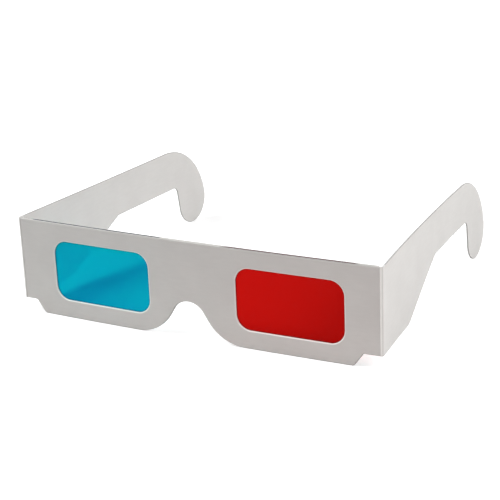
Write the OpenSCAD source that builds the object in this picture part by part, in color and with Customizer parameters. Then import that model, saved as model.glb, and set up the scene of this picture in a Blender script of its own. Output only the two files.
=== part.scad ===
// Paper stereoscopic glasses: two die-cut cards with a cyan and a red film between them,
// and two hooked arms that fold on pressed creases.
// Lengths are millimetres. +X is the wearer's left, -Y is the front and +Z is up.
// The origin lies on the table, midway between the front and the ends of the arms.

/* [Front] */
// Distance between the two fold axes
front_span = 138.6; // [134:0.1:160]
// Height of the front
front_h = 35; // [32:0.5:45]
// How far the front bulges forward at the nose
front_bow = 1.25; // [0.2:0.05:4]
// Thickness of one card
card_t = 0.45; // [0.3:0.05:0.6]

/* [Windows] */
// Width of the card between the windows
bridge_w = 33.8; // [28:0.1:40]
// Width of the card between a fold and the nearest window, on average
end_w = 13.3; // [10:0.1:18]
// Height of a window
window_h = 21.8; // [16:0.1:26]
// Corner radius of a window
window_r = 5.2; // [2:0.1:8]
// How far the pair of windows sits off centre, towards the wearer's left
window_shift = 1; // [-2:0.1:2]

/* [Films] */
// Thickness of a film, and of the glue beside it
film_t = 0.12; // [0.06:0.02:0.3]
// How far the cyan film reaches past its window on the nose side
cyan_lap = 5.2; // [2:0.1:7]
// How far the red film reaches past its window on the nose side
red_lap = 3.7; // [2:0.1:7]
// Distance from the outer end of the cyan film to the fold
cyan_end = 5.6; // [3:0.1:10]
// Distance from the outer end of the red film to the fold
red_end = 8.6; // [3:0.1:10]
// Gap between the end of a film and the glue
glue_gap = 0.2; // [0.1:0.1:1]

/* [Nose notch] */
// Height of the notch at its top
nose_depth = 13.5; // [8:0.1:18]
// Radius of the round top of the notch
crown_r = 7; // [4:0.1:10]
// Slope of the straight flanks of the notch, in degrees
flank_slope = 58; // [50:1:70]
// Radius where a flank runs out into the bottom edge
foot_r = 16; // [6:0.5:20]

/* [End tabs] */
// Height of the underside of the tab beside each fold
tab_z = 4.7; // [2:0.1:8]
// Length of the level stretch of a tab
tab_w = 5.3; // [3:0.1:10]
// Length of the slope between a tab and the bottom edge
step_w = 3.4; // [1:0.1:6]
// Radius of the inner corner of the step
step_in_r = 0.8; // [0.3:0.1:1.5]
// Radius of the outer corner of the step
step_out_r = 1.2; // [0.3:0.1:2]
// How far the notch and the steps sit off centre, towards the wearer's left
cut_shift = -0.7; // [-2:0.1:2]

/* [Creases] */
// Outer radius of the pressed fold
fold_r = 0.8; // [0.8:0.05:1.2]
// Gap between the pressed fold and the cards around it
crease_gap = 0.03; // [0.02:0.01:0.06]

/* [Arms] */
// Reach of an arm from its fold axis
arm_len = 118.9; // [110:0.1:125]
// Length of the deep root of an arm
root_len = 28.7; // [20:0.1:40]
// Height of the underside of an arm at the end of its root
root_z = 4.3; // [2:0.1:8]
// Radius of the corner at the end of the root
root_r = 6; // [1:0.5:10]
// Distance from the fold axis to the start of the slim band
band_start = 59.2; // [50:0.1:70]
// Depth of the slim band
band_h = 15.9; // [10:0.1:20]
// Radius of the corner where the slim band starts
band_r = 3; // [1:0.5:10]
// How much nearer to its fold the slope under the right arm lies
right_slope = 2.4; // [0:0.1:4]
// Distance from the fold axis to where the top edge rounds over
head_start = 91; // [80:0.1:95]
// Height of the tip of the hook above the table
hook_z = 1; // [0:0.1:4]
// Radius of the tip of the hook
hook_r = 9.7; // [6:0.1:10.5]
// Lean of the inner edge of the hook, in degrees
hook_lean = 10; // [0:0.5:15]
// Radius of the corner between the band and the hook
ear_r = 3; // [1:0.1:5]
// How far the left arm leans inward at its fold, in degrees
left_rest = 6.65; // [0:0.05:12]
// How far the bend of the left arm carries its end outward
left_flare = 5.5; // [0:0.1:8]
// How far the right arm leans inward at its fold, in degrees
right_rest = 4.1; // [0:0.05:12]
// How far the bend of the right arm carries its end outward
right_flare = 2.1; // [0:0.1:8]

/* [Hidden] */

card_color = [0.93, 0.925, 0.91];
fold_color = [0.96, 0.955, 0.94];
glue_color = [0.86, 0.85, 0.8];
cyan_color = [0.0, 0.62, 0.78, 0.85];
red_color = [0.76, 0.05, 0.04, 0.85];

// The front is a stack: front card, films and glue, back card
film_y = card_t;
back_y = card_t + film_t;
half_span = front_span / 2;

// Width of a window, and the edges of both, from the wearer's right to left
window_w = (front_span - bridge_w - 2 * end_w) / 2;
window_x = [
    window_shift - bridge_w / 2 - window_w,
    window_shift - bridge_w / 2,
    window_shift + bridge_w / 2,
    window_shift + bridge_w / 2 + window_w,
];

// Flat strips in the bow of the front and in the bend of an arm
bow_strips = 24;
bend_strips = 12;
// Turn of one straight piece of a round corner, in degrees
arc_step = 5;
// Length of the tools that cut an outline out of a bent sheet
cut_depth = 4 * (back_y + card_t + fold_r + front_bow + max(left_flare, right_flare));

// The flanks of the notch meet above its round top
notch_peak = nose_depth + crown_r * (1 / cos(flank_slope) - 1);
notch_half = notch_peak / tan(flank_slope);

// The underside of the slim band
band_z = front_h - band_h;

// The round tip of the hook, and where its leaning inner edge starts
tip_u = arm_len - hook_r;
tip_z = hook_z + hook_r;
inner_u = tip_u - hook_r * cos(hook_lean);
inner_z = tip_z - hook_r * sin(hook_lean);
ear_u = inner_u - (band_z - inner_z) * tan(hook_lean);

// The back of the hook is one arc from the top edge to the tip, tangent to both
head_run = tip_u - head_start;
head_rise = front_h - tip_z;
head_r = (head_run ^ 2 + head_rise ^ 2 - hook_r ^ 2) / (2 * (head_rise - hook_r));
head_angle = atan2(tip_z - (front_h - head_r), head_run);

// The part is centred between its front and its rearmost points
left_rear = arm_len * cos(left_rest) + (fold_r + left_flare) * sin(left_rest);
right_rear = arm_len * cos(right_rest) + (fold_r + right_flare) * sin(right_rest);
rear_y = fold_r + max(left_rear, right_rear);
mid_y = (rear_y - front_bow) / 2;

// Points on an arc from angle a to angle b, both ends included
function arc(center, r, a, b) =
    let (steps = max(2, ceil(abs(b - a) / arc_step)))
    [for (i = [0:steps]) let (t = a + (b - a) * i / steps) center + r * [cos(t), sin(t)]];

// Signed turn from direction p to direction q, in degrees
function turn(p, q) = atan2(p.x * q.y - p.y * q.x, p * q);

// The round of radius r in the corner at c, between the points before and after it
function fillet(before, c, after, r) =
    let (
        into = (c - before) / norm(c - before),
        out = (after - c) / norm(after - c),
        bend = turn(into, out),
        side = sign(bend),
        start = c - into * r * tan(abs(bend) / 2),
        center = start + side * r * [-into.y, into.x],
        a = atan2(start.y - center.y, start.x - center.x)
    )
    arc(center, r, a, a + bend);

// A closed outline from corners [x, y, radius]; a radius of 0 leaves a corner sharp
function rounded(corners) =
    let (n = len(corners))
    [for (i = [0:n - 1])
        let (
            c = corners[i],
            p = corners[(i + n - 1) % n],
            q = corners[(i + 1) % n]
        )
        each (c.z == 0 ? [[c.x, c.y]] : fillet([p.x, p.y], [c.x, c.y], [q.x, q.y], c.z))];

// Front outline, seen from the front: tabs, steps and nose notch
module card_outline() {
    left_step = cut_shift + half_span - tab_w;
    right_step = cut_shift - half_span + tab_w;
    polygon(rounded([
        [-half_span, tab_z, 0],
        [right_step, tab_z, step_in_r],
        [right_step + step_w, 0, step_out_r],
        [cut_shift - notch_half, 0, foot_r],
        [cut_shift, notch_peak, crown_r],
        [cut_shift + notch_half, 0, foot_r],
        [left_step - step_w, 0, step_out_r],
        [left_step, tab_z, step_in_r],
        [half_span, tab_z, 0],
        [half_span, front_h, 0],
        [-half_span, front_h, 0],
    ]));
}

// One window between two edges
module window_outline(x0, x1) {
    z0 = (front_h - window_h) / 2;
    z1 = z0 + window_h;
    polygon(rounded([
        [x0, z0, window_r],
        [x1, z0, window_r],
        [x1, z1, window_r],
        [x0, z1, window_r],
    ]));
}

// A slice of the front outline between two heights of the X axis
module slice_outline(x0, x1) {
    intersection() {
        card_outline();
        translate([x0, 0]) square([x1 - x0, front_h]);
    }
}

// Outline of an arm laid flat: u runs from the fold axis to the hook
module arm_outline(slope_shift) {
    root = [root_len - slope_shift, root_z];
    band = [band_start - slope_shift, band_z];
    ear = [ear_u, band_z];
    inner = [inner_u, inner_z];
    polygon(concat(
        [[0, tab_z]],
        fillet([0, tab_z], root, band, root_r),
        fillet(root, band, ear, band_r),
        fillet(band, ear, inner, ear_r),
        arc([tip_u, tip_z], hook_r, 180 + hook_lean, 360 + head_angle),
        arc([head_start, front_h - head_r], head_r, head_angle, 90),
        [[0, front_h]]
    ));
}

// Depth of the front's surface at x
function bow_y(x) = -front_bow * (1 - (x / half_span) ^ 2);

// A bowed sheet of the front, cut to the outline given; y is how deep it lies in the stack
module front_sheet(y, t) {
    xs = [for (i = [0:bow_strips]) half_span * (2 * i / bow_strips - 1)];
    face = [for (x = xs) [x, bow_y(x) + y]];
    rear = [for (i = [bow_strips:-1:0]) [xs[i], bow_y(xs[i]) + y + t]];
    translate([0, -mid_y, 0]) difference() {
        intersection() {
            linear_extrude(front_h) polygon(concat(face, rear));
            rotate([90, 0, 0]) linear_extrude(cut_depth, center = true) children();
        }
        for (side = [-1, 1]) translate([side * half_span, fold_r, 0])
            cylinder(r = fold_r + crease_gap, h = front_h, $fn = 64);
    }
}

// A card of the front, with both windows cut out
module card(y) {
    front_sheet(y, card_t) difference() {
        card_outline();
        window_outline(window_x[0], window_x[1]);
        window_outline(window_x[2], window_x[3]);
    }
}

// A bent arm that leans inward at its fold, on the wearer's left
module arm(rest, flare, slope_shift) {
    us = [for (i = [0:bend_strips]) arm_len * i / bend_strips];
    outer = [for (u = us) [fold_r + flare * (u / arm_len) ^ 2, u]];
    inner = [for (i = [bend_strips:-1:0]) outer[i] - [card_t, 0]];
    translate([half_span, fold_r - mid_y, 0]) rotate([0, 0, rest]) difference() {
        intersection() {
            linear_extrude(front_h) polygon(concat(outer, inner));
            rotate([90, 0, 90]) linear_extrude(cut_depth, center = true)
                arm_outline(slope_shift);
        }
        cylinder(r = fold_r + crease_gap, h = front_h, $fn = 64);
    }
}

// The pressed fold between the front and an arm
module crease(side) {
    translate([side * half_span, fold_r - mid_y, tab_z])
        cylinder(r = fold_r, h = front_h - tab_z, $fn = 64);
}

// Ends of the films
cyan_x0 = cyan_end - half_span;
cyan_x1 = window_x[1] + cyan_lap;
red_x0 = window_x[2] - red_lap;
red_x1 = half_span - red_end;

module front_card() {
    color(card_color) card(0);
}

module back_card() {
    color(card_color) card(back_y);
}

module cyan_film() {
    color(cyan_color) front_sheet(film_y, film_t) slice_outline(cyan_x0, cyan_x1);
}

module red_film() {
    color(red_color) front_sheet(film_y, film_t) slice_outline(red_x0, red_x1);
}

module bridge_glue() {
    color(glue_color) front_sheet(film_y, film_t)
        slice_outline(cyan_x1 + glue_gap, red_x0 - glue_gap);
}

module right_end_glue() {
    color(glue_color) front_sheet(film_y, film_t)
        slice_outline(-half_span, cyan_x0 - glue_gap);
}

module left_end_glue() {
    color(glue_color) front_sheet(film_y, film_t)
        slice_outline(red_x1 + glue_gap, half_span);
}

module right_crease() {
    color(fold_color) crease(-1);
}

module left_crease() {
    color(fold_color) crease(1);
}

module right_arm() {
    color(card_color) mirror([1, 0, 0]) arm(right_rest, right_flare, right_slope);
}

module left_arm() {
    color(card_color) arm(left_rest, left_flare, 0);
}

front_card();
back_card();
cyan_film();
red_film();
bridge_glue();
right_end_glue();
left_end_glue();
right_crease();
left_crease();
right_arm();
left_arm();
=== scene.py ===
import math

import bmesh
import bpy
from mathutils import Matrix, Vector
from mathutils.geometry import delaunay_2d_cdt


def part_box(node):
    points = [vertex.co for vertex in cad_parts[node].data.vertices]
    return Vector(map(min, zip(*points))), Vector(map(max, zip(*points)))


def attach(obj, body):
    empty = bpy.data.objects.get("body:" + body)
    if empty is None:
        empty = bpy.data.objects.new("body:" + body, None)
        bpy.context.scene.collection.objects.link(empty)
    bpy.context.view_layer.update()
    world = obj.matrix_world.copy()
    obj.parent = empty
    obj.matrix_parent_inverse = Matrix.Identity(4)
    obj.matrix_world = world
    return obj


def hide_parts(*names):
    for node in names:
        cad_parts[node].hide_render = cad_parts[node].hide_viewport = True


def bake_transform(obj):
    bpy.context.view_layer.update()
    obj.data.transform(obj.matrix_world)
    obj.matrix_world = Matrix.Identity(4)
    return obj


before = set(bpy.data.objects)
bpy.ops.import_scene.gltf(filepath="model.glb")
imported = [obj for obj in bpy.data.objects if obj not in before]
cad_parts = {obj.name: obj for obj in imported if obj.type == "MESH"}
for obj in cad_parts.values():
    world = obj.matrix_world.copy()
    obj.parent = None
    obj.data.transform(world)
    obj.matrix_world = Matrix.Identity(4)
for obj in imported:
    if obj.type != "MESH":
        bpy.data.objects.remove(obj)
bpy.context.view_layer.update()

mm = 0.001  # the glasses are laid out in millimetres

# Sizes of the card blank, in millimetres
blank = {
    "span": 138.6,  # between the two folds
    "height": 35.0,
    "bow": 1.25,  # how far the front bulges at the nose
    "card": 0.45,
    "film": 0.12,
    "foldRadius": 0.8,
    "lead": 0.22,  # straight card on each side of a fold
    "tabHeight": 4.7,
}
windowCut = {"width": 39.1, "height": 21.8, "radius": 5.2, "pitch": 72.9, "shift": 1.0}
# Where each film lies, and how far it reaches under the card on each side of its window
filmPlace = {
    "cyan": {"side": -1, "lapLow": 8.7, "lapHigh": 5.2},
    "red": {"side": 1, "lapLow": 3.7, "lapHigh": 3.7},
}
# How finely the sheets are meshed, in millimetres
meshing = {
    "step": 2.2,  # between points along a straight cut
    "grid": 2.6,  # between points inside a sheet
    "clearance": 0.45,  # share of the grid that inner points keep from a cut
    "support": 0.1,  # flat rim kept beside every rounded edge
    "turn": 6.0,  # degrees between points on a rounded corner
    "snap": 0.01,  # a point this close to a line lies on it
    "upright": 1e-4,  # two points this close along the card stand above each other
    "merge": 1e-5,  # points this close are joined in the fill
    "same": 1e-6,  # points this close in an outline are one
    "straight": 0.02,  # sine of a bend that counts as none
    "sliver": 0.001,  # height over length of a triangle squeezed flat outside a straight cut
}
halfSpan = blank["span"] / 2
midY = -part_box("front_card")[0].y / mm - blank["bow"]  # the folds' front face lies here


def windowCentre(name):
    return windowCut["shift"] + filmPlace[name]["side"] * windowCut["pitch"] / 2


def filmSpan(name):
    centre, half = windowCentre(name), windowCut["width"] / 2
    return centre - half - filmPlace[name]["lapLow"], centre + half + filmPlace[name]["lapHigh"]


# Shader maths: a wire holds one output socket, and expressions on wires add Math nodes
class Wire:
    def __init__(self, graph, socket):
        self.graph = graph
        self.socket = socket

    def maths(self, operation, *terms):
        return self.graph.node("ShaderNodeMath", {"operation": operation}, dict(enumerate(terms)))

    def __add__(self, other):
        return self.maths("ADD", self, other)

    def __radd__(self, other):
        return self.maths("ADD", other, self)

    def __sub__(self, other):
        return self.maths("SUBTRACT", self, other)

    def __rsub__(self, other):
        return self.maths("SUBTRACT", other, self)

    def __mul__(self, other):
        return self.maths("MULTIPLY", self, other)

    def __rmul__(self, other):
        return self.maths("MULTIPLY", other, self)

    def __pow__(self, other):
        return self.maths("POWER", self, other)

    def __abs__(self):
        return self.maths("ABSOLUTE", self)

    def atLeast(self, other):
        return self.maths("MAXIMUM", self, other)

    def atMost(self, other):
        return self.maths("MINIMUM", self, other)

    def between(self, low, high):  # 0 below low, 1 above high, smooth in between
        values = {"Value": self, "From Min": low, "From Max": high}
        return self.graph.node("ShaderNodeMapRange", {"interpolation_type": "SMOOTHSTEP"}, values)


class Graph:
    def __init__(self, owner):
        owner.use_nodes = True
        self.tree = owner.node_tree
        self.tree.nodes.clear()

    def node(self, kind, settings=None, values=None, out=0):
        made = self.tree.nodes.new(kind)
        for name, value in (settings or {}).items():
            setattr(made, name, value)
        for name, value in (values or {}).items():
            socket = made.inputs[name]
            if isinstance(value, Wire):
                self.tree.links.new(value.socket, socket)
            else:
                socket.default_value = value
        return Wire(self, made.outputs[out]) if made.outputs else None

    def blendColour(self, factor, first, second):
        # inputs 0, 6 and 7 of a Mix node are its factor and its two colours
        return self.node("ShaderNodeMix", {"data_type": "RGBA"}, {0: factor, 6: first, 7: second}, out=2)

    def noise(self, vector, scale, detail, roughness):
        values = {"Vector": vector, "Scale": scale, "Detail": detail, "Roughness": roughness}
        return self.node("ShaderNodeTexNoise", {"noise_dimensions": "3D"}, values)

    def stretch(self, vector, scale):
        return self.node("ShaderNodeVectorMath", {"operation": "MULTIPLY"}, {0: vector, 1: scale})

    def along(self, axis, vector):
        return self.node("ShaderNodeSeparateXYZ", values={"Vector": vector}, out=axis)

    def bump(self, height, strength, distance):
        values = {"Strength": strength, "Distance": distance, "Height": height}
        return self.node("ShaderNodeBump", values=values)

    # the painted edge tone of each vertex: above 0 pale fibre with a painted highlight, below 0 painted shade
    def paintedEdgeTone(self):
        return self.node("ShaderNodeAttribute", {"attribute_name": "edgeLightShade"}, out="Fac")

    def ray(self, name):  # 1 for this kind of ray, 0 for any other
        return self.node("ShaderNodeLightPath", out=name)


def newMaterial(name):
    material = bpy.data.materials.new(name)
    return material, Graph(material)


def shaded(colour, share, lift=0.0):
    return tuple(share * part + lift for part in colour[:3]) + (1.0,)


# White board: short fibres along the blank, faint clouds of tone, and at the cuts pale pressed fibre with a
# painted highlight on some and painted shade on others
boardLook = {
    "face": (0.700, 0.684, 0.665, 1.0),
    "cloud": (0.664, 0.647, 0.629, 1.0),
    "pressed": (0.900, 0.890, 0.868, 1.0),  # fibres that the die has rolled over, made paler still as a painted highlight on lit cut edges and on the fold's bead
    "paintedShade": (0.050, 0.048, 0.046, 1.0),  # painted shade: dark colour for shaded cut edges and for the shaded gap between two cut layers
    "cloudNoise": (70.0, 3.0, 0.55),  # scale, detail and roughness
    "fibreNoise": (900.0, 3.0, 0.6),
    "fibreStretch": (0.22, 1.0, 1.0),
    "grainNoise": (2600.0, 2.0, 0.6),
    "cloudShare": 0.65,  # the fibres give the rest of the tone
    "toneSpread": (0.32, 0.68),
    "roughness": 0.78,
    "fibreRoughness": 0.12,
    "cutRoughness": 0.06,
    "fibreHeight": 0.6,
    "grainHeight": 0.4,
    "cutHeight": 0.5,  # more grain on a cut edge
    "bump": 0.18,
    "bumpDistance": 0.00006,
    "ior": 1.45,
    "gloss": 0.3,
}


def makeBoard():
    material, g = newMaterial("whiteBoard")
    look = boardLook
    place = g.node("ShaderNodeTexCoord", out="UV")
    cut = g.paintedEdgeTone()
    fibre = g.noise(g.stretch(place, look["fibreStretch"]), *look["fibreNoise"])
    grain = g.noise(place, *look["grainNoise"])
    cloud = g.noise(place, *look["cloudNoise"])
    tone = (cloud * look["cloudShare"] + fibre * (1 - look["cloudShare"])).between(*look["toneSpread"])
    paper = g.blendColour(tone, look["cloud"], look["face"])
    # pale: pressed fibre with a painted highlight; dark: painted shade on shaded cut edges and in the gap
    # between the cards
    pale, dark = cut.between(0.0, 1.0), (cut * -1.0).between(0.0, 1.0)
    height = fibre * look["fibreHeight"] + grain * (look["grainHeight"] + (pale + dark) * look["cutHeight"])
    surface = g.node("ShaderNodeBsdfPrincipled", values={
        "Base Color": g.blendColour(dark, g.blendColour(pale, paper, look["pressed"]), look["paintedShade"]),
        "Roughness": look["roughness"] + fibre * look["fibreRoughness"] + pale * look["cutRoughness"],
        "Normal": g.bump(height, look["bump"], look["bumpDistance"]),
        "IOR": look["ior"],
        "Specular IOR Level": look["gloss"],
    })
    g.node("ShaderNodeOutputMaterial", values={"Surface": surface})
    return material


# Dried glue between the two cards
glueLook = {
    "pale": (0.60, 0.58, 0.53, 1.0),
    "dark": (0.46, 0.44, 0.40, 1.0),
    "noise": (500.0, 3.0, 0.6),  # scale, detail and roughness
    "toneSpread": (0.35, 0.65),
    "roughness": 0.55,
    "blotchRoughness": 0.2,
    "bump": 0.3,
    "bumpDistance": 0.00004,
}


def makeGlue():
    material, g = newMaterial("driedGlue")
    look = glueLook
    blotch = g.noise(g.node("ShaderNodeTexCoord", out="Object"), *look["noise"])
    surface = g.node("ShaderNodeBsdfPrincipled", values={
        "Base Color": g.blendColour(blotch.between(*look["toneSpread"]), look["dark"], look["pale"]),
        "Roughness": look["roughness"] + blotch * look["blotchRoughness"],
        "Normal": g.bump(blotch, look["bump"], look["bumpDistance"]),
    })
    g.node("ShaderNodeOutputMaterial", values={"Surface": surface})
    return material


# Dyed filter films: see-through, with a little dye haze that catches the light, and painted shade at their
# cut edges and along each window's edge
filmLooks = {
    "cyan": {
        "through": (0.0005, 0.86, 0.76, 1.0),
        "haze": (0.0005, 0.20, 0.74, 1.0),
        # the third colour is painted shade for the film's cut edges and along the window's edge
        "edge": (0.002, 0.045, 0.060, 1.0),
        "clear": 0.50,  # share of the light that goes through instead of meeting the haze
    },
    "red": {
        "through": (0.765, 0.007, 0.005, 1.0),
        "haze": (0.50, 0.005, 0.004, 1.0),
        # the third colour is painted shade for the film's cut edges and along the window's edge
        "edge": (0.300, 0.012, 0.045, 1.0),
        "clear": 0.90,
    },
}
filmFinish = {
    "streakNoise": (160.0, 3.0, 0.55),  # scale, detail and roughness
    "streakStretch": (0.15, 1.0, 1.0),
    "dustNoise": (1400.0, 2.0, 0.6),
    "dustSpread": (0.62, 0.80),
    "dustTint": 0.25,
    "dustShade": (0.85, 0.002),  # a dusty haze is this share of the haze, and this much paler
    "dustCover": 0.06,
    "rimWidth": 0.65,  # millimetres: painted shadow of the card's edge on the film along the window's edge
    "rimStrength": 0.5,
    "rimShade": 0.3,
    "hazeRoughness": 0.12,
    "streakRoughness": 0.10,
    "hazeIor": 1.08,
    "bump": 0.05,
    "bumpDistance": 0.00005,
    "clearRoughness": 0.02,
    "clearIor": 1.07,
}


def windowShade(g, place, name):
    # mask of the painted shadow of the card's edge on the film: 1 at the edge of the window and outside it,
    # falling to 0 inside; the layout is in metres
    across, up = g.along("X", place) * (1 / mm), g.along("Y", place) * (1 / mm)
    radius = windowCut["radius"]
    a = abs(across - windowCentre(name)) - (windowCut["width"] / 2 - radius)
    b = abs(up - blank["height"] / 2) - (windowCut["height"] / 2 - radius)
    outA, outB = a.atLeast(0.0), b.atLeast(0.0)
    corner = (outA * outA + outB * outB) ** 0.5
    straight = a.atLeast(b).atMost(0.0)
    return (corner + straight - radius).between(-filmFinish["rimWidth"], 0.0)


def makeFilm(name):
    material, g = newMaterial(name + "FilterFilm")
    look, finish = filmLooks[name], filmFinish
    place = g.node("ShaderNodeTexCoord", out="UV")
    cut = g.paintedEdgeTone()
    streak = g.noise(g.stretch(place, finish["streakStretch"]), *finish["streakNoise"])
    dust = g.noise(place, *finish["dustNoise"]).between(*finish["dustSpread"])
    # the film's cut edges and a rim along the window's edge are painted shade: the rim darkens the clear
    # colour, and both turn the haze to the edge shade colour
    rim = windowShade(g, place, name) * finish["rimStrength"]
    dusty = g.blendColour(dust * finish["dustTint"], look["haze"], shaded(look["haze"], *finish["dustShade"]))
    clear = g.node("ShaderNodeBsdfPrincipled", values={
        "Base Color": g.blendColour(rim, look["through"], shaded(look["through"], finish["rimShade"])),
        "Roughness": finish["clearRoughness"],
        "IOR": finish["clearIor"],
        "Transmission Weight": 1.0,
    })
    dyed = g.node("ShaderNodeBsdfPrincipled", values={
        "Base Color": g.blendColour(cut.atLeast(rim), dusty, look["edge"]),
        "Roughness": finish["hazeRoughness"] + streak * finish["streakRoughness"],
        "Normal": g.bump(streak, finish["bump"], finish["bumpDistance"]),
        "IOR": finish["hazeIor"],
    })
    entering = (look["clear"] - dust * finish["dustCover"]) * (1 - cut)
    leaving = g.node("ShaderNodeNewGeometry", out="Backfacing")  # light meets the dye once, where it enters
    share = entering + leaving * (1 - entering)
    surface = g.node("ShaderNodeMixShader", values={0: share, 1: dyed, 2: clear})
    g.node("ShaderNodeOutputMaterial", values={"Surface": surface})
    return material


board = makeBoard()
glue = makeGlue()
films = {name: makeFilm(name) for name in filmLooks}
print("materials ready")


# Outlines are lists of flat points (along, up), in millimetres
def arcPoints(centre, radius, start, end):
    steps = max(2, math.ceil(abs(end - start) / meshing["turn"]))
    angles = [math.radians(start + (end - start) * i / steps) for i in range(steps + 1)]
    return [(centre[0] + radius * math.cos(a), centre[1] + radius * math.sin(a)) for a in angles]


def roundCorner(before, corner, after, radius):
    into = (Vector(corner) - Vector(before)).normalized()
    away = (Vector(after) - Vector(corner)).normalized()
    bend = math.atan2(into.x * away.y - into.y * away.x, into.dot(away))
    side = math.copysign(1.0, bend)
    start = Vector(corner) - into * radius * math.tan(abs(bend) / 2)
    centre = start + Vector((-into.y, into.x)) * side * radius
    angle = math.degrees(math.atan2(start.y - centre.y, start.x - centre.x))
    return arcPoints(centre, radius, angle, angle + math.degrees(bend))


def roundedOutline(corners):
    points = []
    for i, (x, z, radius) in enumerate(corners):
        before, after = corners[i - 1][:2], corners[(i + 1) % len(corners)][:2]
        points += [(x, z)] if radius == 0 else roundCorner(before, (x, z), after, radius)
    return points


def divideLoop(points):
    loop = []
    for i, p in enumerate(points):
        q = points[(i + 1) % len(points)]
        length = math.dist(p, q)
        if length < meshing["same"]:
            continue
        count = max(1, math.ceil(length / meshing["step"]))
        loop += [(p[0] + (q[0] - p[0]) * k / count, p[1] + (q[1] - p[1]) * k / count) for k in range(count)]
    return loop


def signedArea(loop):
    return sum(p[0] * q[1] - q[0] * p[1] for p, q in zip(loop, loop[1:] + loop[:1])) / 2


def clipOutline(points, low, high):
    for limit, keep in ((low, 1), (high, -1)):
        kept = []
        for i, q in enumerate(points):
            p = points[i - 1]
            pIn, qIn = keep * (p[0] - limit) >= 0, keep * (q[0] - limit) >= 0
            if pIn != qIn:
                t = (limit - p[0]) / (q[0] - p[0])
                kept.append((limit, p[1] + t * (q[1] - p[1])))
            if qIn:
                kept.append(q)
        points = kept
    return points


def insetLoop(loop, widths):
    moved = []
    for i, point in enumerate(loop):
        before, after = loop[i - 1], loop[(i + 1) % len(loop)]
        a = Vector((point[0] - before[0], point[1] - before[1])).normalized()
        b = Vector((after[0] - point[0], after[1] - point[1])).normalized()
        normalA, normalB = Vector((-a.y, a.x)), Vector((-b.y, b.x))
        widthA, widthB = widths[i - 1], widths[i]
        cross = normalA.x * normalB.y - normalA.y * normalB.x
        if abs(cross) < meshing["straight"]:
            step = (normalA + normalB).normalized() * (widthA + widthB) / 2
        else:
            x = (widthA * normalB.y - widthB * normalA.y) / cross
            y = (normalA.x * widthB - normalB.x * widthA) / cross
            step = Vector((x, y))
        moved.append((point[0] + step.x, point[1] + step.y))
    return moved


def insideLoops(x, z, loops):
    inside = False
    for loop in loops:
        for (ax, az), (bx, bz) in zip(loop, loop[1:] + loop[:1]):
            if (az > z) != (bz > z) and x < (bx - ax) * (z - az) / (bz - az) + ax:
                inside = not inside
    return inside


def nearLoops(x, z, loops, reach):
    return any(abs(x - px) < reach and abs(z - pz) < reach for loop in loops for px, pz in loop)


def innerPoints(loops, grid):
    # an even grid inside the outline and outside its holes
    xs, zs = [p[0] for p in loops[0]], [p[1] for p in loops[0]]
    columns = math.ceil((max(xs) - min(xs)) / grid)
    rows = math.ceil((max(zs) - min(zs)) / grid)
    found = []
    for i in range(1, columns):
        for j in range(1, rows):
            x = min(xs) + (max(xs) - min(xs)) * i / columns
            z = min(zs) + (max(zs) - min(zs)) * j / rows
            if insideLoops(x, z, loops) and not nearLoops(x, z, loops, grid * meshing["clearance"]):
                found.append((x, z))
    return found


def fillTriangles(points, edges, loops):
    # the triangulation also covers holes and notches, so only what lies on the card is kept
    found = delaunay_2d_cdt([Vector(p) for p in points], edges, [], 0, meshing["merge"])
    source = [ids[0] for ids in found[3]]
    kept = []
    for triangle in found[2]:
        ids = [source[k] for k in triangle]
        a, b, c = (Vector(points[k]) for k in ids)
        x, z = (a + b + c) / 3
        longest = max((a - b).length, (b - c).length, (c - a).length)
        flatness = abs((b - a).cross(c - a)) / longest ** 2
        if flatness > meshing["sliver"] and insideLoops(x, z, loops):
            kept.append(ids)
    return kept


def ringFaces(starts, count):
    # quads from each ring of count vertices to the ring that follows it
    faces = []
    for low in starts:
        for i in range(count):
            j = (i + 1) % count
            faces.append((low + i, low + j, low + count + j, low + count + i))
    return faces


def outerRim(radius, steps):
    # inset and depth of the points round an edge, from the face to the side
    angles = [math.radians(90 * k / steps) for k in range(steps + 1)]
    return [(radius * (1 - math.sin(a)), radius * (1 - math.cos(a))) for a in angles]


def innerRim(radius, thick):
    # the same from the side to the back
    angles = [math.radians(45 * k) for k in range(3)]
    return [(radius * (1 - math.cos(a)), thick - radius * (1 - math.sin(a))) for a in angles]


# What a sheet has when nothing else is asked for; a tone of painted highlight and shade holds the parts of
# lip, face side and rear side
plainSheet = {
    "rimSteps": 4,
    "rearLip": 0.0,  # how much of the rear tone the last ring before the back has
    "shrink": 0.0,
    "grid": meshing["grid"],
    "rimScale": lambda p, q: 1.0,
    "tone": lambda number, x, z: (0.0, 1.0, 1.0),
}


def sheetProfile(sheet):
    # one entry for each ring: its inset, its depth, and its shares of a tone's three parts
    thick, outer, inner = sheet["thickness"], sheet["outerRim"], sheet["innerRim"]
    widest = max(outer, inner) + meshing["support"]
    profile = [(widest, 0.0, (0.0, 0.0, 0.0))]
    for k, (inset, depth) in enumerate(outerRim(outer, sheet["rimSteps"])):
        rear = 1.0 if k >= sheet["rimSteps"] - 1 else 0.0
        lip = max(0.0, 1 - k / 2)
        profile.append((inset, depth, (lip, 1 - lip - rear, rear)))
    for (inset, depth), rear in zip(innerRim(inner, thick), (1.0, 1.0, sheet["rearLip"])):
        profile.append((inset, depth, (0.0, 0.0, rear)))
    profile.append((widest, thick, (0.0, 0.0, 0.0)))
    return profile


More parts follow.
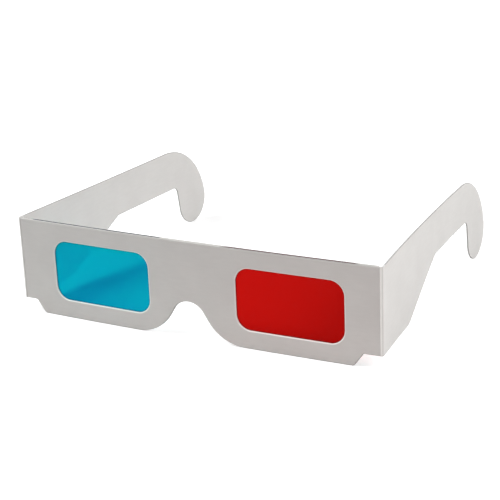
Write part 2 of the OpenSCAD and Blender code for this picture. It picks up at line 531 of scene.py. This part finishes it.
def buildSheet(name, outline, holes, place, wanted):
    # wanted holds thickness, outerRim and innerRim, and whatever differs from plainSheet
    sheet = {**plainSheet, **wanted}
    profile = sheetProfile(sheet)
    vertices, faces, cuts, flat = [], [], [], []
    loops, points, edges, layers = [], [], [], []  # layers: the face and the back vertex of each flat point
    for number, corners in enumerate([outline] + holes):
        loop = divideLoop(corners)
        if (signedArea(loop) > 0) != (number == 0):
            loop.reverse()
        count, first, base = len(loop), len(vertices), len(points)
        scales = [sheet["rimScale"](p, q) for p, q in zip(loop, loop[1:] + loop[:1])]
        tones = [sheet["tone"](number, x, z) for x, z in loop]
        for inset, depth, shares in profile:
            ring = insetLoop(loop, [inset * scale + sheet["shrink"] for scale in scales])
            vertices += [place(x, z, depth) for x, z in ring]
            flat += ring
            cuts += [sum(share * part for share, part in zip(shares, parts)) for parts in tones]
        last = len(vertices) - count
        faces += ringFaces(range(first, last, count), count)
        loops.append(flat[first:first + count])
        points += loops[-1]
        layers += [(first + i, last + i) for i in range(count)]
        edges += [(base + i, base + (i + 1) % count) for i in range(count)]
    for x, z in innerPoints(loops, sheet["grid"]):
        points.append((x, z))
        layers.append((len(vertices), len(vertices) + 1))
        vertices += [place(x, z, 0.0), place(x, z, sheet["thickness"])]
        flat += [(x, z), (x, z)]
        cuts += [0.0, 0.0]
    for ids in fillTriangles(points, edges, loops):
        faces.append(tuple(layers[k][0] for k in ids))
        faces.append(tuple(layers[k][1] for k in reversed(ids)))
    return newPiece(name, vertices, faces, cuts, flat)


def newPiece(name, vertices, faces, cuts, flat):
    # cuts holds the painted edge tone of each vertex (painted highlight above 0, painted shade below 0), flat
    # its place on the flat card
    mesh = bpy.data.meshes.new(name)
    mesh.from_pydata([Vector(v) * mm for v in vertices], [], faces)
    uv = mesh.uv_layers.new(name="blankLayout")
    for corner in mesh.loops:
        x, z = flat[corner.vertex_index]
        uv.data[corner.index].uv = (x * mm, z * mm)
    attribute = mesh.attributes.new("edgeLightShade", "FLOAT", "POINT")
    attribute.data.foreach_set("value", cuts)
    tidyNormals(mesh)
    piece = bpy.data.objects.new(name, mesh)
    bpy.context.scene.collection.objects.link(piece)
    return piece


def tidyNormals(mesh):
    work = bmesh.new()
    work.from_mesh(mesh)
    bmesh.ops.recalc_face_normals(work, faces=work.faces)
    for face in work.faces:
        face.smooth = True
    work.to_mesh(mesh)
    work.free()


def finishPiece(piece, material, slotName, *nodes):
    piece.data.materials.append(material)
    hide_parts(*nodes)


# The front: two die-cut cards with rounded windows, a nose notch and a tab beside each fold
frontCut = {
    "outerRim": 0.34,  # the cut presses the outer edge round
    "innerRim": 0.10,
    "rimSteps": 5,
    "foldRim": 0.25,  # share of the rim left beside a fold
    "tabLength": 5.3,
    "stepLength": 3.4,
    "stepInner": 0.8,
    "stepOuter": 1.2,
    "shift": -0.7,
    "noseDepth": 13.5,
    "noseShift": -0.48,
    "crown": 6.6,
    "flank": 58.0,
    "foot": 16.0,
    "wave": 0.03,  # how far the card strays from a true bow
    "waveSpan": (17.0, 13.0),  # along and up, for each radian of the wave
    "waveStart": (0.6, 0.9),
}
# Painted tone of a cut edge at its lip, beside the face and at its rear: 1 is pressed pale fibre with a
# painted highlight, -1 is painted shade
edgeTone = {
    "window": (0.7, 1.0, 0.0),
    "top": (0.0, -0.25, -0.4),
    "topFilm": (0.0, -0.25, -1.0),
    "topFar": (0.0, -0.2, -0.8),
    "topRed": (0.0, -0.5, -1.0),
    "topEnd": (0.0, -0.4, -0.5),
    "under": (0.0, -0.35, -0.6),
    "back": (0.0, -0.4, -0.4),
    "backFilm": (-1.0, -1.0, -1.0),
    "backFar": (-0.75, -0.75, -0.75),
    "arm": (-0.35, -0.5, -0.5),
    "besideFold": (0.0, -0.2, -0.2),
    "armFold": (0.0, 0.0, 0.0),
}
# The top edge from left to right: where a stretch ends, and the tones of the front and the back card on it
# The cards part a little where a film lies between them, and those stretches carry darker painted shade for
# the shaded gap
topStretches = [
    (filmSpan("cyan")[0], "top", "back"),
    (-33.0, "topFar", "backFar"),
    (filmSpan("cyan")[1], "topFilm", "backFilm"),
    (filmSpan("red")[0], "top", "back"),
    (filmSpan("red")[1], "topRed", "backFilm"),
    (blank["span"], "topEnd", "back"),
]


def frontOutline(endX):
    flank = math.radians(frontCut["flank"])
    peak = frontCut["noseDepth"] + frontCut["crown"] * (1 / math.cos(flank) - 1)
    half = peak / math.tan(flank)
    shift, nose, tab, height = frontCut["shift"], frontCut["noseShift"], blank["tabHeight"], blank["height"]
    leftStep = shift + halfSpan - frontCut["tabLength"]
    rightStep = shift - halfSpan + frontCut["tabLength"]
    return roundedOutline([
        (-endX, tab, 0),
        (rightStep, tab, frontCut["stepInner"]),
        (rightStep + frontCut["stepLength"], 0, frontCut["stepOuter"]),
        (nose - half, 0, frontCut["foot"]),
        (nose, peak, frontCut["crown"]),
        (nose + half, 0, frontCut["foot"]),
        (leftStep - frontCut["stepLength"], 0, frontCut["stepOuter"]),
        (leftStep, tab, frontCut["stepInner"]),
        (endX, tab, 0),
        (endX, height, 0),
        (-endX, height, 0),
    ])


def windowOutline(name):
    x, z = windowCentre(name), blank["height"] / 2
    halfW, halfH = windowCut["width"] / 2, windowCut["height"] / 2
    corners = [(x - halfW, z - halfH), (x + halfW, z - halfH), (x + halfW, z + halfH), (x - halfW, z + halfH)]
    return roundedOutline([(a, b, windowCut["radius"]) for a, b in corners])


def strayFront(x, z):
    (along, up), (startX, startZ) = frontCut["waveSpan"], frontCut["waveStart"]
    return frontCut["wave"] * math.sin(x / along + startX) * math.sin(z / up + startZ)


def placeFront(depthStart):
    def place(x, z, depth):
        bow = -blank["bow"] * (1 - (x / halfSpan) ** 2)
        fade = max(0.0, 1 - (x / halfSpan) ** 4)  # no wave at the folds
        return (x, bow + strayFront(x, z) * fade + depthStart + depth - midY, z)
    return place


def thinAtFold(limit):
    def scale(p, q):
        upright = abs(p[0] - q[0]) < meshing["upright"]
        return frontCut["foldRim"] if upright and abs(p[0]) > limit and abs(q[0]) > limit else 1.0
    return scale


def atTop(z):
    return z > blank["height"] - meshing["snap"]


def topTone(x, layer):  # layer 1 is the front card, layer 2 the back card
    return edgeTone[next(stretch for stretch in topStretches if x < stretch[0])[layer]]


def frontTone(number, x, z):
    if number > 0:
        return edgeTone["window"]
    if abs(x) > halfSpan - blank["lead"] - meshing["snap"]:
        return edgeTone["besideFold"]
    return topTone(x, 1) if atTop(z) else edgeTone["under"]


def backTone(number, x, z):
    return topTone(x, 2) if number == 0 and atTop(z) else edgeTone["back"]


def buildFront():
    windows = [windowOutline(name) for name in filmPlace]
    frontEnd, backEnd = halfSpan - blank["lead"], halfSpan - blank["foldRadius"]
    backStart = blank["card"] + blank["film"]
    for name, node, endX, start, outer, tone in (
        ("frontCardCut", "front_card", frontEnd, 0.0, frontCut["outerRim"], frontTone),
        ("backCardCut", "back_card", backEnd, backStart, frontCut["innerRim"], backTone),
    ):
        sheet = {
            "thickness": blank["card"],
            "outerRim": outer,
            "innerRim": frontCut["innerRim"],
            "rimSteps": frontCut["rimSteps"],
            "rimScale": thinAtFold(endX - meshing["snap"]),
            "tone": tone,
        }
        piece = buildSheet(name, frontOutline(endX), windows, placeFront(start), sheet)
        finishPiece(piece, board, "card", node)
        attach(piece, "front")


buildFront()
print("front cards ready")


# The films lie between the cards and show in the windows and along the cut edges
filmCut = {
    "rim": 0.02,
    "rimSteps": 2,
    "recess": 0.02,  # behind the card's cut edge
    "grid": 1.8,
    "belly": 0.10,
    "ripple": 0.02,
    "rippleTurns": (5.0, 2.0, 3.0),  # radians from the middle of a window to its edge
}


def placeFilm(name):
    front = placeFront(blank["card"])
    across, up, cross = filmCut["rippleTurns"]

    def place(x, z, depth):
        a = (x - windowCentre(name)) / (windowCut["width"] / 2)
        b = (z - blank["height"] / 2) / (windowCut["height"] / 2)
        window = max(0.0, 1 - a * a) * max(0.0, 1 - b * b)
        ripple = filmCut["ripple"] * math.sin(a * across + b * up) * math.sin(b * cross - a)
        px, py, pz = front(x, z, depth)
        return (px, py + window * (filmCut["belly"] + ripple), pz)
    return place


def buildFilms():
    sheet = {
        "thickness": blank["film"],
        "outerRim": filmCut["rim"],
        "innerRim": filmCut["rim"],
        "rimSteps": filmCut["rimSteps"],
        "shrink": filmCut["recess"],
        "grid": filmCut["grid"],
    }
    for name in filmPlace:
        outline = clipOutline(frontOutline(halfSpan), *filmSpan(name))
        piece = buildSheet(name + "FilmSheet", outline, [], placeFilm(name), sheet)
        finishPiece(piece, films[name], name + "_film", name + "_film")
        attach(piece, "front")
    for node in ("bridge_glue", "right_end_glue", "left_end_glue"):
        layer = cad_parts[node]
        layer.data.materials.clear()
        layer.data.materials.append(glue)


buildFilms()
print("films ready")


# The arms: a deep root, a slim band and a hook behind the ear, each bent a little outward
armCut = {
    "length": 118.9,
    "rootLength": 28.7,
    "rootHeight": 4.3,
    "rootRadius": 6.0,
    "bandStart": 59.2,
    "bandDepth": 15.9,
    "bandRadius": 3.0,
    "headStart": 91.0,
    "hookHeight": 1.0,
    "hookRadius": 9.7,
    "hookLean": 10.0,
    "earRadius": 3.0,
    "outerRim": 0.20,
    "innerRim": 0.14,
    "foldRim": 0.6,  # share of the rim left beside a fold
    "foldZone": 1.0,  # the cut is plain this close to a fold
    "wave": 0.05,
    "waveSpan": (19.0, 12.0),  # along and up, for each radian of the wave
    "waveStart": 0.4,
    "waveGrowth": 20.0,  # the wave has its full height from here on
}
# How each arm stands; slope is how much nearer to the fold the slope under it lies
armRest = {
    "left": {"side": 1, "lean": 6.65, "flare": 5.5, "slope": 0.0},
    "right": {"side": -1, "lean": 4.1, "flare": 2.1, "slope": 2.4},
}


def armOutline(slope):
    height = blank["height"]
    bandZ = height - armCut["bandDepth"]
    lean = math.radians(armCut["hookLean"])
    tip = (armCut["length"] - armCut["hookRadius"], armCut["hookHeight"] + armCut["hookRadius"])
    innerU = tip[0] - armCut["hookRadius"] * math.cos(lean)
    innerZ = tip[1] - armCut["hookRadius"] * math.sin(lean)
    earU = innerU - (bandZ - innerZ) * math.tan(lean)
    run, rise = tip[0] - armCut["headStart"], height - tip[1]
    headRadius = (run ** 2 + rise ** 2 - armCut["hookRadius"] ** 2) / (2 * (rise - armCut["hookRadius"]))
    headAngle = math.degrees(math.atan2(tip[1] - (height - headRadius), run))
    start = (blank["lead"], blank["tabHeight"])
    root = (armCut["rootLength"] - slope, armCut["rootHeight"])
    band = (armCut["bandStart"] - slope, bandZ)
    ear, inner = (earU, bandZ), (innerU, innerZ)
    head = (armCut["headStart"], height - headRadius)
    points = [start]
    points += roundCorner(start, root, band, armCut["rootRadius"])
    points += roundCorner(root, band, ear, armCut["bandRadius"])
    points += roundCorner(band, ear, inner, armCut["earRadius"])
    points += arcPoints(tip, armCut["hookRadius"], 180 + armCut["hookLean"], 360 + headAngle)
    points += arcPoints(head, headRadius, headAngle, 90)[1:]
    points.append((blank["lead"], height))
    return points


def placeArm(rest):
    lean = math.radians(rest["lean"])
    c, s = math.cos(lean), math.sin(lean)
    along, up = armCut["waveSpan"]

    def place(u, z, depth):
        growth = min(1.0, u / armCut["waveGrowth"])
        stray = armCut["wave"] * math.sin(u / along) * math.sin(z / up + armCut["waveStart"]) * growth
        across = blank["foldRadius"] + rest["flare"] * (u / armCut["length"]) ** 2 - depth + stray
        x = halfSpan + across * c - u * s
        return (rest["side"] * x, blank["foldRadius"] - midY + across * s + u * c, z)
    return place


def armRimScale(p, q):
    limit = blank["lead"] + meshing["snap"]
    return armCut["foldRim"] if p[0] < limit and q[0] < limit else 1.0


def armTone(number, x, z):
    return edgeTone["armFold"] if x < armCut["foldZone"] else edgeTone["arm"]


def buildArms():
    sheet = {
        "thickness": blank["card"],
        "outerRim": armCut["outerRim"],
        "innerRim": armCut["innerRim"],
        "rearLip": 1.0,
        "rimScale": armRimScale,
        "tone": armTone,
    }
    for name, rest in armRest.items():
        piece = buildSheet(name + "ArmCut", armOutline(rest["slope"]), [], placeArm(rest), sheet)
        finishPiece(piece, board, "card", name + "_arm")
        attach(piece, name + "_arm")


buildArms()
print("arms ready")


# The pressed folds: a strip of card that turns from the front to the arm, with a raised bead and a score
# line; the bead carries a painted highlight, the score line and the cut edges painted shade
foldCut = {
    "outerRim": 0.28,
    "innerRim": 0.14,
    "rimSteps": 5,
    # a tone above 0 is a painted highlight, below 0 painted shade
    "bead": {"at": 0.32, "width": 0.22, "height": 0.14, "tone": 1.0},  # distances along the strip
    "score": {"at": 0.95, "width": 0.12, "height": -0.03, "tone": -0.38},
    # painted shade on the strip's cut edges
    "paintedEdgeTone": -0.3,
    "column": 0.075,  # distance between columns across the strip
}


def foldMark(s, wanted):  # what the bead and the score line add to the strip here: height, and a tone of painted highlight on the bead and painted shade in the score
    marks = (foldCut["bead"], foldCut["score"])
    return sum(mark[wanted] * math.exp(-(((s - mark["at"]) / mark["width"]) ** 2)) for mark in marks)


def placeFold(side, lean):
    lead, radius = blank["lead"], blank["foldRadius"]
    arcLength = math.radians(90 + lean) * radius

    def place(s, z, depth):
        out = radius - depth + foldMark(s, "height") * (1 - depth / blank["card"])
        if s < lead:
            angle, along = -90.0, s - lead
            tangent = (1.0, 0.0)
        elif s < lead + arcLength:
            angle, along = -90.0 + math.degrees((s - lead) / radius), 0.0
            tangent = (0.0, 0.0)
        else:
            angle, along = lean, s - lead - arcLength
            tangent = (-math.sin(math.radians(lean)), math.cos(math.radians(lean)))
        x = halfSpan + out * math.cos(math.radians(angle)) + along * tangent[0]
        y = radius - midY + out * math.sin(math.radians(angle)) + along * tangent[1]
        return (side * x, y, z)
    return place


def foldSection():
    # once around the strip: height, depth, share of the cut edge's painted shade, share of the face's painted
    # marks
    low, high, thick = blank["tabHeight"], blank["height"], blank["card"]
    rim = []
    for k, (inset, depth) in enumerate(outerRim(foldCut["outerRim"], foldCut["rimSteps"])):
        rim.append((inset, depth, min(1.0, k / 2), max(0.0, 1 - k / 3)))
    for k, (inset, depth) in enumerate(innerRim(foldCut["innerRim"], thick)):
        rim.append((inset, depth, 1 - k / 2, 0.0))
    rows = math.ceil((high - low) / meshing["step"])
    section = [(high - inset, depth, cut, face) for inset, depth, cut, face in rim]
    section += [(high - (high - low) * k / rows, thick, 0.0, 0.0) for k in range(1, rows)]
    section += [(low + inset, depth, cut, face) for inset, depth, cut, face in reversed(rim)]
    section += [(low + (high - low) * k / rows, 0.0, 0.0, 1.0) for k in range(1, rows)]
    return section


def buildFolds():
    section = foldSection()
    count = len(section)
    for name, rest in armRest.items():
        side, lean, radius = rest["side"], rest["lean"], blank["foldRadius"]
        length = 2 * blank["lead"] + math.radians(90 + lean) * radius
        columns = math.ceil(length / foldCut["column"])
        place = placeFold(side, lean)
        vertices, cuts, flat = [], [], []
        for i in range(columns + 1):
            s = length * i / columns
            for z, depth, cut, face in section:
                vertices.append(place(s, z, depth))
                cuts.append(cut * foldCut["paintedEdgeTone"] + face * foldMark(s, "tone"))
                flat.append((s, z))
        faces = ringFaces(range(0, columns * count, count), count)
        faces.append(tuple(range(count)))
        faces.append(tuple(range(columns * count, (columns + 1) * count)))
        piece = newPiece(name + "FoldStrip", vertices, faces, cuts, flat)
        finishPiece(piece, board, "card", name + "_crease")
        # from the front, straight before the fold's axis, to the arm beside it
        axis = Vector((side * halfSpan, radius - midY, 0))
        toArm = Vector((math.cos(math.radians(lean)) * side, math.sin(math.radians(lean)), 0))
        start, end = (axis + Vector((0, -radius, 0))) * mm, (axis + toArm * radius) * mm
        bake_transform(piece)
        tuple(start)
        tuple(end)


buildFolds()
print("folds ready")


# The table: it looks white, a strip of it close before the front glows for diffuse rays only and so lights
# the front's foot, and it keeps the shadow
table = {
    "size": 6.0,
    "tilt": 0.52,  # degrees: the hooks and the front's edge both touch it
    "colour": (0.51, 0.51, 0.51, 1.0),
    "speck": (0.50, 0.50, 0.50, 1.0),
    "speckNoise": (300.0, 2.0, 0.5),  # scale, detail and roughness
    "roughness": 0.9,
    "gloss": 0.1,
    "fill": 0.62,  # lifts the table to white where the camera or a reflection sees it
    "filmFill": 0.01,  # the same where it shows through a film
    "whiteFrom": (0.25, 0.9),  # between these distances, in metres, the table turns quite white
    "footGlow": 0.18,  # glow seen only by diffuse rays, from the table close before the front, that lights the front's foot
    "footGlowFrom": (-0.15, -0.075),  # it grows between these places along Y, in metres
    "footGlowEnd": 0.003,  # it fades over this depth just before the front
    "footGlowColour": (1.0, 0.92, 0.88, 1.0),
}
tableY = -midY * mm  # the foot of the front stands here


def makeTable():
    material, g = newMaterial("whiteTable")
    place = g.node("ShaderNodeTexCoord", out="Object")
    matt = g.node("ShaderNodeBsdfPrincipled", values={
        "Base Color": g.blendColour(g.noise(place, *table["speckNoise"]), table["colour"], table["speck"]),
        "Roughness": table["roughness"],
        "Specular IOR Level": table["gloss"],
    })
    through, diffuseRay = g.ray("Is Transmission Ray"), g.ray("Is Diffuse Ray")
    seen = g.ray("Is Camera Ray") + g.ray("Is Glossy Ray") * (1 - through)
    away = g.node("ShaderNodeVectorMath", {"operation": "LENGTH"}, {0: place}, out="Value")
    lift = table["fill"] + away.between(*table["whiteFrom"]) * (1 - table["fill"])
    y = g.along("Y", place)
    # the glowing strip before the front, seen only by diffuse rays, lights the front's foot with a warm tint
    near = y.between(*table["footGlowFrom"]) * (1 - y.between(tableY - table["footGlowEnd"], tableY))
    fill = seen * lift + through * table["filmFill"] + diffuseRay * near * table["footGlow"]
    tint = g.blendColour(diffuseRay, (1, 1, 1, 1), table["footGlowColour"])
    colour = g.blendColour(fill, (0, 0, 0, 1), tint)
    glow = g.node("ShaderNodeEmission", values={"Color": colour, "Strength": 1.0})
    surface = g.node("ShaderNodeAddShader", values={0: matt, 1: glow})
    g.node("ShaderNodeOutputMaterial", values={"Surface": surface})
    return material


def buildTable():
    half = table["size"] / 2
    corners = [(-half, -half, 0), (half, -half, 0), (half, half, 0), (-half, half, 0)]
    mesh = bpy.data.meshes.new("tableTop")
    mesh.from_pydata(corners, [], [(0, 1, 2, 3)])
    mesh.materials.append(makeTable())
    floor = bpy.data.objects.new("tableTop", mesh)
    bpy.context.scene.collection.objects.link(floor)
    tilt = Matrix.Rotation(math.radians(table["tilt"]), 4, "X")
    floor.matrix_world = Matrix.Translation((0, tableY, 0)) @ tilt @ Matrix.Translation((0, -tableY, 0))


# Light from all sides is weak; what looks at the background sees white
worldLevel = 0.03


def buildWorld():
    world = bpy.data.worlds.new("softStudio")
    bpy.context.scene.world = world
    g = Graph(world)
    seen = (g.ray("Is Camera Ray") + g.ray("Is Transmission Ray") + g.ray("Is Glossy Ray")).atMost(1.0)
    strength = worldLevel + seen * (1 - worldLevel)
    light = g.node("ShaderNodeBackground", values={"Color": (1, 1, 1, 1), "Strength": strength})
    g.node("ShaderNodeOutputWorld", values={"Surface": light})


# Soft boxes at the right, at the left and behind, and a weak warm fill close to the front's right end
lamps = {
    "rightBox": {"at": (0.88, -0.03, 0.67), "size": 0.5, "power": 10.2, "colour": (1.0, 1.0, 1.0)},
    "leftBox": {"at": (-0.8, -0.36, 1.05), "size": 0.8, "power": 19.9, "colour": (0.982, 1.0, 0.995)},
    "rearBox": {"at": (-0.10, 1.30, 0.80), "size": 0.7, "power": 4.5, "colour": (1.0, 1.0, 1.0)},
    "warmFill": {"at": (0.12, -0.20, 0.03), "size": 0.06, "power": 0.009, "colour": (1.0, 0.30, 0.25)},
}
lampAim = (0, 0, 0.015)


def buildLamps():
    for name, lamp in lamps.items():
        light = bpy.data.lights.new(name, "AREA")
        light.shape = "SQUARE"
        light.size = lamp["size"]
        light.energy = lamp["power"]
        light.color = lamp["colour"]
        item = bpy.data.objects.new(name, light)
        bpy.context.scene.collection.objects.link(item)
        item.visible_camera = False
        aim = (Vector(lampAim) - Vector(lamp["at"])).to_track_quat("-Z", "Y")
        item.matrix_world = Matrix.Translation(lamp["at"]) @ aim.to_matrix().to_4x4()


# The camera as it was fitted to the photograph
view = {
    "at": (0.23262, -0.43977, 0.18499),
    "right": (0.882116, 0.469438, -0.038719),
    "down": (0.121442, -0.306080, -0.944228),
    "ahead": (-0.455108, 0.828217, -0.327007),
    "lens": 101.71,
    "sensor": 36.0,
    "nearest": 0.01,
}


def buildCamera():
    camera = bpy.data.objects.new("shopCamera", bpy.data.cameras.new("shopCamera"))
    bpy.context.scene.collection.objects.link(camera)
    camera.data.sensor_width = view["sensor"]
    camera.data.lens = view["lens"]
    camera.data.clip_start = view["nearest"]
    turn = Matrix((Vector(view["right"]), -Vector(view["down"]), -Vector(view["ahead"]))).transposed()
    camera.matrix_world = Matrix.Translation(view["at"]) @ turn.to_4x4()
    bpy.context.scene.camera = camera


buildTable()
buildWorld()
buildLamps()
buildCamera()
bpy.context.scene.view_settings.view_transform = "Standard"
print("studio ready")
